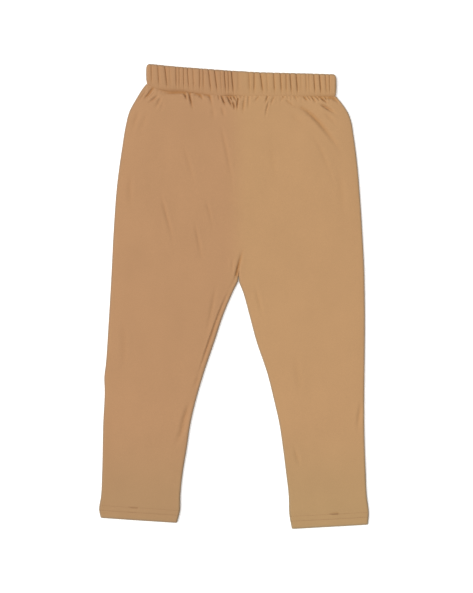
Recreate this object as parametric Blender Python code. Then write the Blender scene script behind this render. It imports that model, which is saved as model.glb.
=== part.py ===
"""Child's jersey leggings, lying flat with the front up.

Each leg is one panel that wraps from the centre front round the outer side to the centre back.
Above the crotch it is open along the centre seams, below it is a closed tube. A casing that holds
the elastic is sewn round the waist, and the hems are turned up inside.

Sizes are in millimetres and the meshes are made in metres. X runs across the garment, with the
wearer's left side at +X, Y from the hems to the waist, Z up from the surface that it lies on.
"""

import math
from collections import namedtuple

import bmesh
import bpy
import numpy as np

MM = 0.001

# Cloth and elastic casing
CLOTH = 1.0
HEM_CLOTH = 1.8
HEM_DEPTH = 15.0
CASING = 2.9
CASING_HEIGHT = 6.7
CASING_CORNER = 5.0
SEAM_GAP = 0.3

# How the layers lie
FOLD_HEIGHT = 4.6
FOLD_REACH = 2.4
LOFT_REACH = 11.0
CROTCH_Y = 22.4
CROTCH_MOUTH = 15.0

# Grid of a leg before its flat stretches are joined
FRONT_COLUMNS = 84
BACK_COLUMNS = 76
FOLD_STEPS = 3
LONG_STEP = 7.0
SHORT_STEP = 2.6
WAIST_REACH = 42.0
FLAT_ANGLE = math.radians(1.9)

# Looks, as linear colours
RIGHT_COLOUR = (0.50, 0.282, 0.139)
LEFT_COLOUR = (0.53, 0.305, 0.147)
CASING_COLOUR = (0.473, 0.266, 0.123)
CLOTH_ROUGHNESS = 0.9
SHARP_ANGLE = math.radians(50)

# Gathers of the back below the casing, where the cloth leaves the surface
BACK_GATHER_PITCH = 6.2
BACK_GATHER_DEPTH = 0.9
BACK_GATHER_LENGTH = 24.0

# Lips beside a crease, as shares of its depth and half width
LIP = 0.35
LIP_REACH = 2.2
CREASE_STEPS = 8

Edge = namedtuple("Edge", "y x")
Waist = namedtuple("Waist", "x lower upper")
Loft = namedtuple("Loft", "y height")
Rib = namedtuple("Rib", "x_top x_bottom depth")
Section = namedtuple("Section", "up thick ribbed")
Crease = namedtuple("Crease", "x0 y0 xm ym x1 y1 depth width at_seam")

# Outer folds and inseams from the hem up
RIGHT_FOLD = [
    Edge(-254.7, -153.4), Edge(-246.0, -155.2), Edge(-230.0, -153.1), Edge(-202.0, -151.8),
    Edge(-147.0, -150.6), Edge(-105.0, -148.9), Edge(-93.5, -149.4), Edge(-80.0, -147.8),
    Edge(-36.0, -144.7), Edge(19.0, -141.4), Edge(74.0, -138.6), Edge(129.0, -134.5),
    Edge(171.0, -128.8), Edge(198.0, -124.3), Edge(212.0, -120.7), Edge(228.0, -112.2),
    Edge(240.0, -104.6), Edge(244.4, -101.2),
]
LEFT_FOLD = [
    Edge(-262.5, 154.2), Edge(-250.0, 155.2), Edge(-229.0, 152.9), Edge(-200.0, 151.6),
    Edge(-174.0, 150.6), Edge(-4.0, 150.6), Edge(28.0, 150.0), Edge(79.0, 147.4),
    Edge(116.0, 145.0), Edge(157.0, 141.4), Edge(187.0, 137.4), Edge(201.0, 135.0),
    Edge(212.0, 131.0), Edge(219.0, 126.6), Edge(230.0, 118.0),
]
RIGHT_INSEAM = [
    Edge(-260.5, -65.5), Edge(-247.0, -62.1), Edge(-229.0, -61.6), Edge(-202.0, -58.8),
    Edge(-174.0, -54.2), Edge(-147.0, -50.2), Edge(-119.0, -43.7), Edge(-91.0, -35.6),
    Edge(-50.0, -21.8), Edge(-22.0, -12.6), Edge(8.6, -0.2), Edge(22.4, 5.2),
]
LEFT_INSEAM = [
    Edge(-267.4, 66.6), Edge(-251.0, 63.7), Edge(-230.0, 63.0), Edge(-202.0, 59.8),
    Edge(-174.0, 56.3), Edge(-147.0, 52.3), Edge(-119.0, 46.0), Edge(-91.0, 39.1),
    Edge(-50.0, 25.9), Edge(-22.0, 18.9), Edge(6.3, 9.8), Edge(22.4, 5.2),
]
CENTRE_SEAM = [
    Edge(22.4, 5.2), Edge(40.0, 6.9), Edge(71.0, 6.2), Edge(111.0, 3.4), Edge(157.0, 1.1),
    Edge(192.0, 0.2), Edge(230.7, 0.0),
]

# Lower seam and top fold of the casing
WAISTBAND = [
    Waist(-101.2, 244.4, 267.9), Waist(-90.0, 239.4, 266.8), Waist(-78.0, 236.0, 265.6),
    Waist(-60.0, 235.4, 264.0), Waist(-39.0, 233.0, 262.4), Waist(-14.0, 230.9, 260.6),
    Waist(0.0, 230.7, 259.6), Waist(30.0, 230.8, 258.0), Waist(76.0, 230.3, 256.8),
    Waist(118.0, 230.0, 255.6),
]

# Height of the lying garment from the hem to the waist
LOFTS = [
    Loft(-267.4, 5.0), Loft(-252.0, 4.9), Loft(-245.0, 4.7), Loft(-170.0, 4.9), Loft(-90.0, 5.3),
    Loft(0.0, 5.7), Loft(80.0, 6.0), Loft(160.0, 6.3), Loft(212.0, 6.7), Loft(223.0, 6.4),
    Loft(233.0, 5.6),
]

# Valleys between the gathers of the casing's front
RIBS = [
    Rib(-95.1, -94.6, 0.8), Rib(-87.4, -85.7, 0.9), Rib(-79.5, -76.0, 1.3), Rib(-73.6, -72.8, 0.5),
    Rib(-66.5, -66.1, 1.0), Rib(-62.8, -62.6, 0.8), Rib(-57.7, -57.5, 0.9), Rib(-53.6, -51.3, 1.0),
    Rib(-47.2, -45.7, 0.7), Rib(-39.2, -39.0, 1.0), Rib(-35.4, -35.0, 0.9), Rib(-29.4, -25.9, 1.2),
    Rib(-22.4, -18.4, 1.3), Rib(-15.4, -13.8, 0.6), Rib(-11.0, -9.2, 1.4), Rib(-6.6, -5.4, 1.0),
    Rib(-2.9, -0.3, 1.7), Rib(4.8, 5.2, 0.5), Rib(17.3, 18.4, 0.8), Rib(23.5, 23.0, 1.2),
    Rib(30.2, 34.0, 1.5), Rib(37.7, 39.0, 0.6), Rib(45.7, 47.0, 1.1), Rib(53.4, 55.0, 1.3),
    Rib(60.0, 60.4, 1.0), Rib(64.4, 66.4, 1.4), Rib(71.5, 73.6, 1.6), Rib(77.0, 77.6, 0.5),
    Rib(82.8, 83.4, 0.7), Rib(86.2, 86.8, 0.5), Rib(91.7, 93.6, 1.3), Rib(98.3, 100.4, 1.6),
    Rib(105.0, 106.8, 1.0), Rib(109.8, 110.2, 0.9),
]
RIB_STEPS = 4

# Section of the casing's wall: share of the way up, share of the wall's thickness, share of a rib
CASING_SECTION = [
    Section(0.0, 0.0, 0.0), Section(0.0, 0.85, 0.2), Section(0.1, 1.0, 0.4), Section(0.34, 1.0, 1.0),
    Section(0.85, 1.0, 1.0), Section(1.0, 0.6, 0.5), Section(1.0, 0.0, 0.0),
]

# Creases of the front: start, middle and end of each trough, its depth and half width
CREASES = [
    Crease(-93.6, 239.2, -98.6, 232.0, -106.0, 224.7, 1.3, 2.2, True),
    Crease(-85.5, 232.4, -93.0, 226.0, -101.0, 220.4, 1.3, 2.2, False),
    Crease(-83.9, 231.0, -86.5, 222.5, -93.0, 213.5, 0.9, 2.6, False),
    Crease(-82.0, 233.6, -69.0, 233.2, -58.0, 234.4, 1.1, 1.9, True),
    Crease(-57.5, 234.6, -55.2, 229.6, -53.1, 223.7, 1.6, 1.8, True),
    Crease(-51.2, 235.2, -49.9, 226.4, -46.0, 211.5, 1.7, 1.8, True),
    Crease(-43.0, 233.4, -38.3, 230.4, -35.0, 223.6, 1.5, 2.0, True),
    Crease(-33.0, 232.3, -27.6, 228.9, -25.0, 215.0, 1.2, 2.2, True),
    Crease(-14.0, 230.2, -11.4, 223.3, -8.4, 219.0, 1.5, 1.6, True),
    Crease(-7.2, 231.0, -4.6, 223.4, 0.5, 215.5, 1.7, 1.6, True),
    Crease(4.6, 228.4, 4.1, 220.5, 3.6, 211.5, 1.5, 1.6, True),
    Crease(38.6, 230.0, 37.2, 225.6, 35.6, 221.0, 1.0, 1.8, True),
    Crease(41.2, 225.4, 38.0, 216.0, 36.0, 203.0, 1.2, 1.8, False),
    Crease(57.0, 226.5, 78.0, 216.4, 92.0, 206.0, 1.6, 3.8, False),
    Crease(88.0, 209.0, 106.0, 192.0, 117.0, 176.0, 1.0, 5.5, False),
    Crease(80.5, 229.4, 83.0, 226.5, 86.0, 223.5, 1.0, 1.7, True),
    Crease(89.7, 229.4, 92.0, 226.0, 95.0, 222.0, 1.0, 1.7, True),
    Crease(98.6, 229.6, 103.4, 225.4, 108.2, 221.2, 1.6, 1.7, True),
    Crease(98.6, 220.8, 107.0, 216.0, 117.0, 211.0, 1.3, 2.4, False),
    Crease(109.0, 228.4, 115.0, 227.0, 121.6, 220.6, 1.5, 1.8, True),
    Crease(-81.6, 107.5, -75.5, 90.0, -72.4, 74.2, 0.9, 3.6, False),
    Crease(-42.5, 68.4, -39.5, 57.0, -36.8, 45.4, 0.7, 3.6, False),
    Crease(-30.0, 103.0, -27.0, 92.0, -24.0, 80.0, 0.6, 3.6, False),
    Crease(-5.5, 8.0, -22.0, -30.0, -41.0, -84.0, 1.1, 2.4, False),
    Crease(-40.0, -92.5, -43.0, -98.0, -47.0, -104.0, 0.9, 2.8, False),
    Crease(-50.6, -119.0, -57.0, -141.0, -65.5, -161.5, 1.2, 3.4, False),
    Crease(-54.0, -142.0, -61.0, -158.0, -70.0, -173.0, 1.0, 3.0, False),
    Crease(68.0, -173.0, 73.0, -185.0, 78.0, -196.0, 0.8, 3.0, False),
    Crease(148.0, -119.0, 144.0, -138.0, 141.5, -157.0, 0.9, 3.0, False),
]


def smoothstep(t):
    t = np.clip(t, 0.0, 1.0)
    return t * t * (3 - 2 * t)


def smooth_table(table, at):
    """Value of a two-column table at a place, on a smooth curve through its rows."""
    knots, values = np.array(table, float).T
    slopes = np.gradient(values, knots)
    at = np.clip(np.asarray(at, float), knots[0], knots[-1])
    k = np.clip(np.searchsorted(knots, at, side="right") - 1, 0, len(knots) - 2)
    span = knots[k + 1] - knots[k]
    t = (at - knots[k]) / span
    start = (2 * t**3 - 3 * t**2 + 1) * values[k] + (t**3 - 2 * t**2 + t) * span * slopes[k]
    end = (3 * t**2 - 2 * t**3) * values[k + 1] + (t**3 - t**2) * span * slopes[k + 1]
    return start + end


def seam_line(x):
    """Lower seam of the casing."""
    return smooth_table([(row.x, row.lower) for row in WAISTBAND], x)


def top_line(x):
    """Top fold of the casing, rounded off towards both ends."""
    inward = np.minimum(x - WAISTBAND[0].x, WAISTBAND[-1].x - x) / CASING_CORNER
    drop = CASING_CORNER * (1 - np.sqrt(1 - (1 - np.clip(inward, 0.0, 1.0)) ** 2))
    return smooth_table([(row.x, row.upper) for row in WAISTBAND], x) - drop


def curve_through(start, middle, end, t):
    """Quadratic curve that passes through three points."""
    return (1 - t) * (1 - 2 * t) * start + 4 * t * (1 - t) * middle + t * (2 * t - 1) * end


def crease_height(x, y):
    """Height that the creases take from the front, or give it along their lips."""
    height = np.zeros(x.shape)
    t = np.linspace(0.0, 1.0, CREASE_STEPS + 1)
    for crease in CREASES:
        path_x = curve_through(crease.x0, crease.xm, crease.x1, t)
        path_y = curve_through(crease.y0, crease.ym, crease.y1, t)
        near = np.full(x.shape, np.inf)
        along = np.zeros(x.shape)
        for k in range(CREASE_STEPS):
            dx = path_x[k + 1] - path_x[k]
            dy = path_y[k + 1] - path_y[k]
            share = ((x - path_x[k]) * dx + (y - path_y[k]) * dy) / (dx * dx + dy * dy)
            share = np.clip(share, 0.0, 1.0)
            away = np.hypot(x - path_x[k] - share * dx, y - path_y[k] - share * dy)
            along = np.where(away < near, (k + share) / CREASE_STEPS, along)
            near = np.minimum(near, away)
        fade_in = 1.0 if crease.at_seam else smoothstep(along / 0.4)
        strength = crease.depth * fade_in * smoothstep((1 - along) / 0.6)
        trough = np.exp(-((near / crease.width) ** 2))
        lips = LIP * np.exp(-((near / (LIP_REACH * crease.width)) ** 2))
        height -= strength * (trough - lips)
    return height


def back_gathers(x, y):
    """Height of the gathers that lift the back off the surface below the casing."""
    below = np.clip(seam_line(x) - y, 0.0, None)
    wave = 0.5 - 0.5 * np.cos(2 * math.pi * x / BACK_GATHER_PITCH)
    uneven = 0.7 + 0.3 * np.sin(x / 9.0)
    return BACK_GATHER_DEPTH * uneven * wave * smoothstep(1 - below / BACK_GATHER_LENGTH)


class Leg:
    """Points of one leg panel, from the hem up and round from its inner fold."""

    def __init__(self, fold, inseam, side):
        self.fold = fold
        self.inseam = inseam
        self.inset = side * SEAM_GAP / 2
        self.inner_hem, self.outer_hem = inseam[0].y, fold[0].y
        self.inner_top, self.outer_top = CENTRE_SEAM[-1].y - SEAM_GAP, fold[-1].y - SEAM_GAP
        self.length = self.inner_top - self.inner_hem
        self.crotch = CROTCH_Y - self.inner_hem

    def row_distances(self):
        """Distances up from the hem of the rows, with one row at the crotch."""
        marks = [
            (0.0, HEM_DEPTH - 0.8, LONG_STEP), (HEM_DEPTH - 0.8, HEM_DEPTH + 0.8, SHORT_STEP),
            (HEM_DEPTH + 0.8, self.crotch, LONG_STEP),
            (self.crotch, self.crotch + CROTCH_MOUTH, SHORT_STEP),
            (self.crotch + CROTCH_MOUTH, self.length - WAIST_REACH, LONG_STEP),
            (self.length - WAIST_REACH, self.length, SHORT_STEP),
        ]
        rows = [0.0]
        for low, high, step in marks:
            rows += list(np.linspace(low, high, math.ceil((high - low) / step) + 1)[1:])
        return rows

    def row(self, distance, inside):
        """Points of one row, on the cloth's outer or inner skin."""
        share = distance / self.length
        y_in = self.inner_hem + self.length * share
        y_out = self.outer_hem + (self.outer_top - self.outer_hem) * share
        seam = CENTRE_SEAM if distance > self.crotch else self.inseam
        x_in = float(smooth_table(seam, y_in)) + self.inset
        x_out = float(smooth_table(self.fold, y_out))
        width = abs(x_out - x_in)
        hem_share = float(smoothstep((HEM_DEPTH - distance) + 0.5))
        skin = CLOTH + (HEM_CLOTH - CLOTH) * hem_share if inside else 0.0
        opened = float(smoothstep((distance - self.crotch) / CROTCH_MOUTH))

        turn = np.linspace(0.0, math.pi / 2, FOLD_STEPS + 1)[:-1]
        closed_edge = FOLD_REACH - (FOLD_REACH - skin) * np.cos(turn)
        edge = closed_edge + (FOLD_REACH * turn / (math.pi / 2) - closed_edge) * opened
        edge_lift = np.sin(turn) + (1 - np.sin(turn)) * opened
        front = np.linspace(FOLD_REACH, width - FOLD_REACH, FRONT_COLUMNS)
        back = np.linspace(width - FOLD_REACH, FOLD_REACH, BACK_COLUMNS)
        round_fold = np.linspace(math.pi / 2, -math.pi / 2, 2 * FOLD_STEPS + 1)[1:-1]
        outer = width - FOLD_REACH + (FOLD_REACH - skin) * np.cos(round_fold)

        across = np.concatenate([edge, front, outer, back, edge[::-1]])
        lift = np.concatenate([
            edge_lift, np.ones(FRONT_COLUMNS), np.sin(round_fold),
            -np.ones(BACK_COLUMNS), -edge_lift[::-1],
        ])
        return self.place(share, x_in, x_out, across / width, lift, skin, opened)

    def place(self, share, x_in, x_out, u, lift, skin, opened):
        x = x_in + (x_out - x_in) * u
        hem_y = self.inner_hem + (self.outer_hem - self.inner_hem) * u
        top_x = self.inset + (self.fold[-1].x - self.inset) * u
        y = hem_y + (seam_line(top_x) - SEAM_GAP - hem_y) * share
        width = abs(x_out - x_in)
        from_outer = np.clip(width * (1 - u) - FOLD_REACH, 0.0, None)
        from_inner = np.clip(width * u - FOLD_REACH, 0.0, None) + opened * 4 * LOFT_REACH
        rise = 1 - np.exp(-np.minimum(from_outer, from_inner) / LOFT_REACH)
        crown = FOLD_HEIGHT + (smooth_table(LOFTS, y) - FOLD_HEIGHT) * rise
        creased = crown + crease_height(x, y)
        top = np.minimum(crown, creased) - skin if skin else creased
        bottom = back_gathers(x, y) + skin
        middle = FOLD_HEIGHT / 2
        z = middle + np.where(lift > 0, top - middle, middle - bottom) * lift
        return np.stack([x, y, z], axis=1)

    def mesh(self):
        """Points and faces of the panel: two skins joined at the hem, the top and the open edges."""
        rows = self.row_distances()
        is_open = [distance > self.crotch + 0.01 for distance in rows]
        points = []
        skins = []
        for inside in (False, True):
            ids = []
            for distance, parted in zip(rows, is_open):
                placed = self.row(distance, inside)
                own = list(range(len(points), len(points) + len(placed)))
                if not parted:
                    placed = placed[:-1]
                    own[-1] = own[0]
                points.extend(placed)
                ids.append(own)
            skins.append(ids)
        outer, inner = skins
        last = len(outer[0]) - 1
        top = len(rows) - 1
        faces = []
        for r in range(top):
            for ids in (outer, inner):
                for c in range(last):
                    faces.append([ids[r][c], ids[r][c + 1], ids[r + 1][c + 1], ids[r + 1][c]])
            if is_open[r + 1]:
                for c in (0, last):
                    faces.append([outer[r][c], outer[r + 1][c], inner[r + 1][c], inner[r][c]])
        for r in (0, top):
            for c in range(last):
                faces.append([outer[r][c], outer[r][c + 1], inner[r][c + 1], inner[r][c]])
        return np.array(points), faces


class Casing:
    """Points of the gathered waistband, a ring with a front wall, a back wall and two end folds."""

    def __init__(self):
        self.left, self.right = WAISTBAND[0].x, WAISTBAND[-1].x
        self.middle = CASING_HEIGHT / 2
        self.front = [(rib.x_top, rib.x_bottom, rib.depth) for rib in RIBS]
        both = self.left + self.right
        self.back = [(both - rib.x_bottom, both - rib.x_top, rib.depth) for rib in reversed(RIBS)]

    def columns(self, ribs):
        """Places across one wall, from the left end: top x, bottom x and hollow of each column."""
        inner_left = self.left + self.middle
        inner_right = self.right - self.middle
        valleys = [(inner_left, inner_left, 0.0), *ribs, (inner_right, inner_right, 0.0)]
        columns = []
        for a, b in zip(valleys, valleys[1:]):
            for k in range(RIB_STEPS):
                t = k / RIB_STEPS
                puff = 1 - abs(2 * t - 1) ** 2.4
                hollow = (a[2] + (b[2] - a[2]) * t) * (1 - puff)
                columns.append((a[0] + (b[0] - a[0]) * t, a[1] + (b[1] - a[1]) * t, hollow))
        return [*columns, valleys[-1]]

    def ring(self):
        """Columns right round the casing: top x, bottom x, angle round the fold and hollow."""
        turns = np.linspace(math.pi / 2, -math.pi / 2, 2 * FOLD_STEPS + 1)[1:-1]
        inner_left, inner_right = self.left + self.middle, self.right - self.middle
        front = [(top, bottom, math.pi / 2, hollow) for top, bottom, hollow in self.columns(self.front)]
        back = [(top, bottom, -math.pi / 2, hollow) for top, bottom, hollow in self.columns(self.back)]
        right_fold = [(inner_right, inner_right, turn, 0.0) for turn in turns]
        left_fold = [(inner_left, inner_left, math.pi - turn, 0.0) for turn in turns[::-1]]
        return [*front, *right_fold, *back[::-1], *left_fold]

    def mesh(self):
        """Points and faces of the ring, a loop of section points at each column."""
        points = []
        ring = self.ring()
        for top_x, bottom_x, angle, hollow in ring:
            for row in CASING_SECTION:
                radius = self.middle - CASING + CASING * row.thick - hollow * row.ribbed
                x = bottom_x + (top_x - bottom_x) * row.up + radius * math.cos(angle)
                low, high = float(seam_line(x)), float(top_line(x))
                points.append((x, low + (high - low) * row.up, self.middle + radius * math.sin(angle)))
        count = len(CASING_SECTION)
        faces = []
        for c in range(len(ring)):
            here, there = c * count, (c + 1) % len(ring) * count
            for k in range(count):
                after = (k + 1) % count
                faces.append([here + k, here + after, there + after, there + k])
        return np.array(points), faces


def build(name, points, faces, colour, flat_angle=None):
    """One named solid with its own material; flat stretches are joined where an angle is given."""
    work = bmesh.new()
    corners = [work.verts.new(point) for point in points * MM]
    for face in faces:
        work.faces.new([corners[k] for k in face])
    bmesh.ops.recalc_face_normals(work, faces=work.faces)
    if flat_angle:
        bmesh.ops.dissolve_limit(work, angle_limit=flat_angle, verts=work.verts, edges=work.edges)
    bmesh.ops.triangulate(work, faces=work.faces)
    mesh = bpy.data.meshes.new(name)
    work.to_mesh(mesh)
    work.free()
    mesh.shade_smooth()
    mesh.set_sharp_from_angle(angle=SHARP_ANGLE)

    material = bpy.data.materials.new(name)
    material.use_nodes = True
    shader = material.node_tree.nodes["Principled BSDF"]
    shader.inputs["Base Color"].default_value = (*colour, 1.0)
    shader.inputs["Roughness"].default_value = CLOTH_ROUGHNESS
    shader.inputs["Metallic"].default_value = 0.0
    mesh.materials.append(material)

    piece = bpy.data.objects.new(name, mesh)
    bpy.context.scene.collection.objects.link(piece)
    return piece


def main():
    for old in list(bpy.data.objects):
        bpy.data.objects.remove(old)
    build("leg_right", *Leg(RIGHT_FOLD, RIGHT_INSEAM, -1).mesh(), RIGHT_COLOUR, FLAT_ANGLE)
    build("leg_left", *Leg(LEFT_FOLD, LEFT_INSEAM, 1).mesh(), LEFT_COLOUR, FLAT_ANGLE)
    build("waistband", *Casing().mesh(), CASING_COLOUR)


main()
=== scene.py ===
"""Finish of a child's jersey leggings, laid flat: cloth panels, gathered waistband, stitching, studio.

The cloth's shape is worked out in millimetres, on the same plan as the CAD solids: X across the
garment, Y from the hems to the waist, Z up from the floor. Meshes are made in metres.
"""

import math
from collections import namedtuple

import bpy
import numpy as np
from bpy.props import FloatProperty, FloatVectorProperty, IntProperty, PointerProperty
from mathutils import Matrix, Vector


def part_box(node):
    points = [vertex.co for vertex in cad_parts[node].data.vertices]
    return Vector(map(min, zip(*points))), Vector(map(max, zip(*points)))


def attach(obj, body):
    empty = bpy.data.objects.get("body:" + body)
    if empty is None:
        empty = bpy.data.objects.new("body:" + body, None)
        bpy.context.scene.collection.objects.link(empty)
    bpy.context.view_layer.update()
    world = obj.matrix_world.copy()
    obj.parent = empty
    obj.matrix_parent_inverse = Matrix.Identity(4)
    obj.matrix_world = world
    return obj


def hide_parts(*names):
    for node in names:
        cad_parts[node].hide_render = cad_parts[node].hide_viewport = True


bl_info = {
    "name": "Jersey Leggings",
    "version": (1, 0, 0),
    "blender": (4, 5, 0),
    "location": "View3D > Sidebar > Leggings",
    "description": "Child's jersey leggings lying flat, with a gathered elastic waistband",
    "category": "Add Mesh",
}

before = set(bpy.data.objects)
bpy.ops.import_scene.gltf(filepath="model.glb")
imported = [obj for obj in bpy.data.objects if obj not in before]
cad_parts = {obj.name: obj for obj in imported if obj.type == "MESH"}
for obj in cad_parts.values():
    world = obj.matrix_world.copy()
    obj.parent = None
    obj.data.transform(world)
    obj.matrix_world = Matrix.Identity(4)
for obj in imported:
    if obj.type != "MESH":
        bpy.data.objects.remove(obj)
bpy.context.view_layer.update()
WAISTBAND_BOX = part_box("waistband")

MM = 0.001

# The photograph's frame and its scale
PHOTO_HEIGHT = 593
MM_PER_PIXEL = 1.15
PHOTO_CENTRE_X = 2.9

# Studio: sensor and middle height in mm, floor and end of view in metres, the lamp's angles in degrees
SENSOR = 36.0
MIDDLE_HEIGHT = 4.0
FLOOR_REACH = 6.0
FLOOR_DROP = 0.0001
VIEW_END = 20.0
KEY_SIDE = (-0.9, 0.1)
KEY_ELEVATION = 56.0
KEY_SPREAD = 42.0
SKY_OVERHEAD = 1.5
SKY_HORIZON = 0.25
WHITE = (1.0, 1.0, 1.0, 1.0)

# Columns of the tables below, in mm unless they are shares
Edge = namedtuple("Edge", "y x")
Waist = namedtuple("Waist", "x lower upper")
Loft = namedtuple("Loft", "y height")
Rib = namedtuple("Rib", "x_top x_bottom depth")
Section = namedtuple("Section", "up thick ribbed")
Crease = namedtuple("Crease", "x0 y0 xm ym x1 y1 depth width")
Sweep = namedtuple("Sweep", "lean wavelength phase share")
Dip = namedtuple("Dip", "x depth")
Ridge = namedtuple("Ridge", "height reach")
Wave = namedtuple("Wave", "pitch seed")
Cut = namedtuple("Cut", "flat area")
Tack = namedtuple("Tack", "x y length")
# A skin holds points, cloth coordinates, painted shade for its hollows and painted shade along its edges
Skin = namedtuple("Skin", "points cloth hollows rims")

# Folds and lofts, as the CAD solids have them
FOLD_HEIGHT = 4.6
FOLD_REACH = 2.4
LOFT_REACH = 11.0
CROTCH_Y = 22.4
CROTCH_MOUTH = 15.0
SEAM_CLEARANCE = 0.006
LAYER_GAP = 0.15
SHARP_ANGLE = 65.0

# Hems: extra thickness as a share of the cloth, rows round the fold, place of the upper stitches under
# the hem's top, and the ropes of cloth between the stitches
HEM_BULK = 0.8
HEM_EDGE_ROWS = (0.0, 0.07, 0.25, 0.5, 0.75, 1.0)
STITCH_DROP = 0.5
STITCH_DENT = Ridge(0.42, 0.8)
HEM_SWELL = Ridge(0.14, 1.9)
ROPE_HEIGHT = 0.06
ROPE_PITCH = 4.2
ROPE_LEAN = 0.8

# How far a stitch's middle stands off the cloth and how thick a tack's thread is, as shares of the thread
STITCH_PROUD = 0.1
TACK_THICKNESS = 1.2

# Waist and centre seams: how the casing holds the front up, and what rises or dips along them
WAIST_HOLD = Ridge(1.3, 2.2)
WAIST_RIDGE = Ridge(0.5, 1.2)
WAIST_DIP_REACH = 1.9
WAIST_DIP_POWER = 1.5
CENTRE_RIDGE = Ridge(0.7, 0.9)
CENTRE_DENT = Ridge(0.03, 0.8)
PUFF = Ridge(0.45, 3.4)
PUFF_DROP = 5.0

# Uneven waves across the garment, each with a seed that sets it apart
PUFF_WAVE = Wave(23.0, 0.9)
FINE_WAVE = Wave(4.4, 0.3)
FINE_REACH_WAVE = Wave(13.0, 2.2)
BACK_WAVE = Wave(6.2, 1.7)
BACK_REACH_WAVE = Wave(11.0, 0.6)
CASING_WAVE = Wave(2.9, 0.8)
BACK_GATHER_HEIGHT = 0.85
CASING_FOLD_DEPTH = 0.16

# Creases: steps along one, the lip beside it, a gather's sharpness, shares of its length that fade
CREASE_STEPS = 8
LIP = 0.32
LIP_REACH = 2.2
GATHER_POWER = 1.4
FADE_IN = 0.4
FADE_OUT = 0.6

# Soft folds: height at the front, and at the back that of their upper part, taken from further along
SWEEP_HEIGHT = 0.22
BACK_SWEEP_HEIGHT = 0.5
BACK_SWEEP_FROM = 0.25
BACK_SWEEP_SHIFT = 40.0

# Casing
CASING_WALL = 2.9
CASING_CORNER = 5.0
END_FOLD_STEPS = 16
CASING_KNIT_STRETCH = 1.25
RIB_DEPTH_SHARE = 1.25
# Share of a rib valley's depth that is painted as shade
RIB_PAINTED_SHADE = 1.05
RIB_CROWDING = 0.45
RIB_NOTCH = 0.35
WIDE_PUFF = 7.0
SEAM_DIP_REACH = 0.16
SEAM_DIP_LIMIT = 1.3

# Painted shade that the materials read from the cloth: depth of a hollow at which its painted shade is
# darkest, the share of it that open creases give, reach of the painted shade along the edges, and a distance
# that it never reaches
PAINTED_SHADE_DEPTH = 1.9
OPEN_CREASE_SHADE = 0.3
EDGE_SHADE_REACH = 1.5
NO_EDGE_SHADE = 99.0

# Tones of the tan, the stretch across the centre seam in which it drifts and the one down the shins
# Fold and Rim are painted shade: they darken the tan deep in folds and along the garment's edges
TONES = ("Right", "Left", "Hem", "Fold", "Rim")
DRIFT_FROM = -12.0
DRIFT_TO = 18.0
HEM_TONE_FROM = -130.0
HEM_TONE_TO = -260.0


def table(kind, *rows):
    """Rows with named columns."""
    return [kind(*row) for row in rows]


# Outer folds and inseams from the hem up
RIGHT_FOLD = table(
    Edge, (-254.7, -153.4), (-246, -155.2), (-230, -153.1), (-202, -151.8), (-147, -150.6),
    (-105, -148.9), (-93.5, -149.4), (-80, -147.8), (-36, -144.7), (19, -141.4), (74, -138.6),
    (129, -134.5), (171, -128.8), (198, -124.3), (212, -120.7), (228, -112.2), (240, -104.6),
    (244.4, -101.2),
)
LEFT_FOLD = table(
    Edge, (-262.5, 154.2), (-250, 155.2), (-229, 152.9), (-200, 151.6), (-174, 150.6), (-4, 150.6),
    (28, 150), (79, 147.4), (116, 145), (157, 141.4), (187, 137.4), (201, 135), (212, 131), (219, 126.6),
    (230, 118),
)
RIGHT_INSEAM = table(
    Edge, (-260.5, -65.5), (-247, -62.1), (-229, -61.6), (-202, -58.8), (-174, -54.2), (-147, -50.2),
    (-119, -43.7), (-91, -35.6), (-50, -21.8), (-22, -12.6), (8.6, 0.3), (18.4, 4.9), (22.4, 5.2),
)
LEFT_INSEAM = table(
    Edge, (-267.4, 66.6), (-251, 63.7), (-230, 63), (-202, 59.8), (-174, 56.3), (-147, 52.3), (-119, 46),
    (-91, 39.1), (-50, 25.4), (-22, 17.9), (6.3, 10), (18.4, 5.5), (22.4, 5.2),
)
CENTRE_SEAM = table(
    Edge, (22.4, 5.2), (40, 6.9), (71, 6.2), (111, 3.4), (157, 1.1), (192, 0.2), (230.7, 0),
)

LEGS = (
    ("leg_right", RIGHT_FOLD, RIGHT_INSEAM, -1),
    ("leg_left", LEFT_FOLD, LEFT_INSEAM, 1),
)

# Lower seam and top fold of the casing
WAISTBAND = table(
    Waist, (-101.2, 244.4, 267.9), (-90, 239.4, 266.8), (-78, 236, 265.6), (-60, 235.4, 264),
    (-39, 233, 262.4), (-14, 230.9, 260.6), (0, 230.7, 259.6), (30, 230.8, 258), (76, 230.3, 256.8),
    (118, 230, 255.6),
)

# Height of the lying garment from the hem to the waist
LOFTS = table(
    Loft, (-267.4, 5), (-252, 4.9), (-245, 4.7), (-170, 4.9), (-90, 5.3), (0, 5.7), (80, 6), (160, 6.3),
    (212, 6.7), (223, 6.4), (233, 5.6),
)

# Depth to which the waist seam sinks along the front
SEAM_DIPS = table(
    Dip, (-101, 0.4), (-88, 0.5), (-80, 1.3), (-58, 1.7), (-50, 1), (-40, 0.9), (-30, 0.5), (-14, 0.3),
    (-5, 1.4), (2, 0.6), (14, 0.15), (60, 0.15), (80, 0.4), (102, 0.8), (118, 0.8),
)

# Depth of the finest gathers just below that seam
FINE_GATHERS = table(
    Dip, (-101, 0.4), (-70, 0.25), (-30, 0.35), (-12, 0.9), (8, 0.9), (22, 0.45), (60, 0.4), (78, 0.9),
    (112, 1), (118, 0.7),
)

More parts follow.
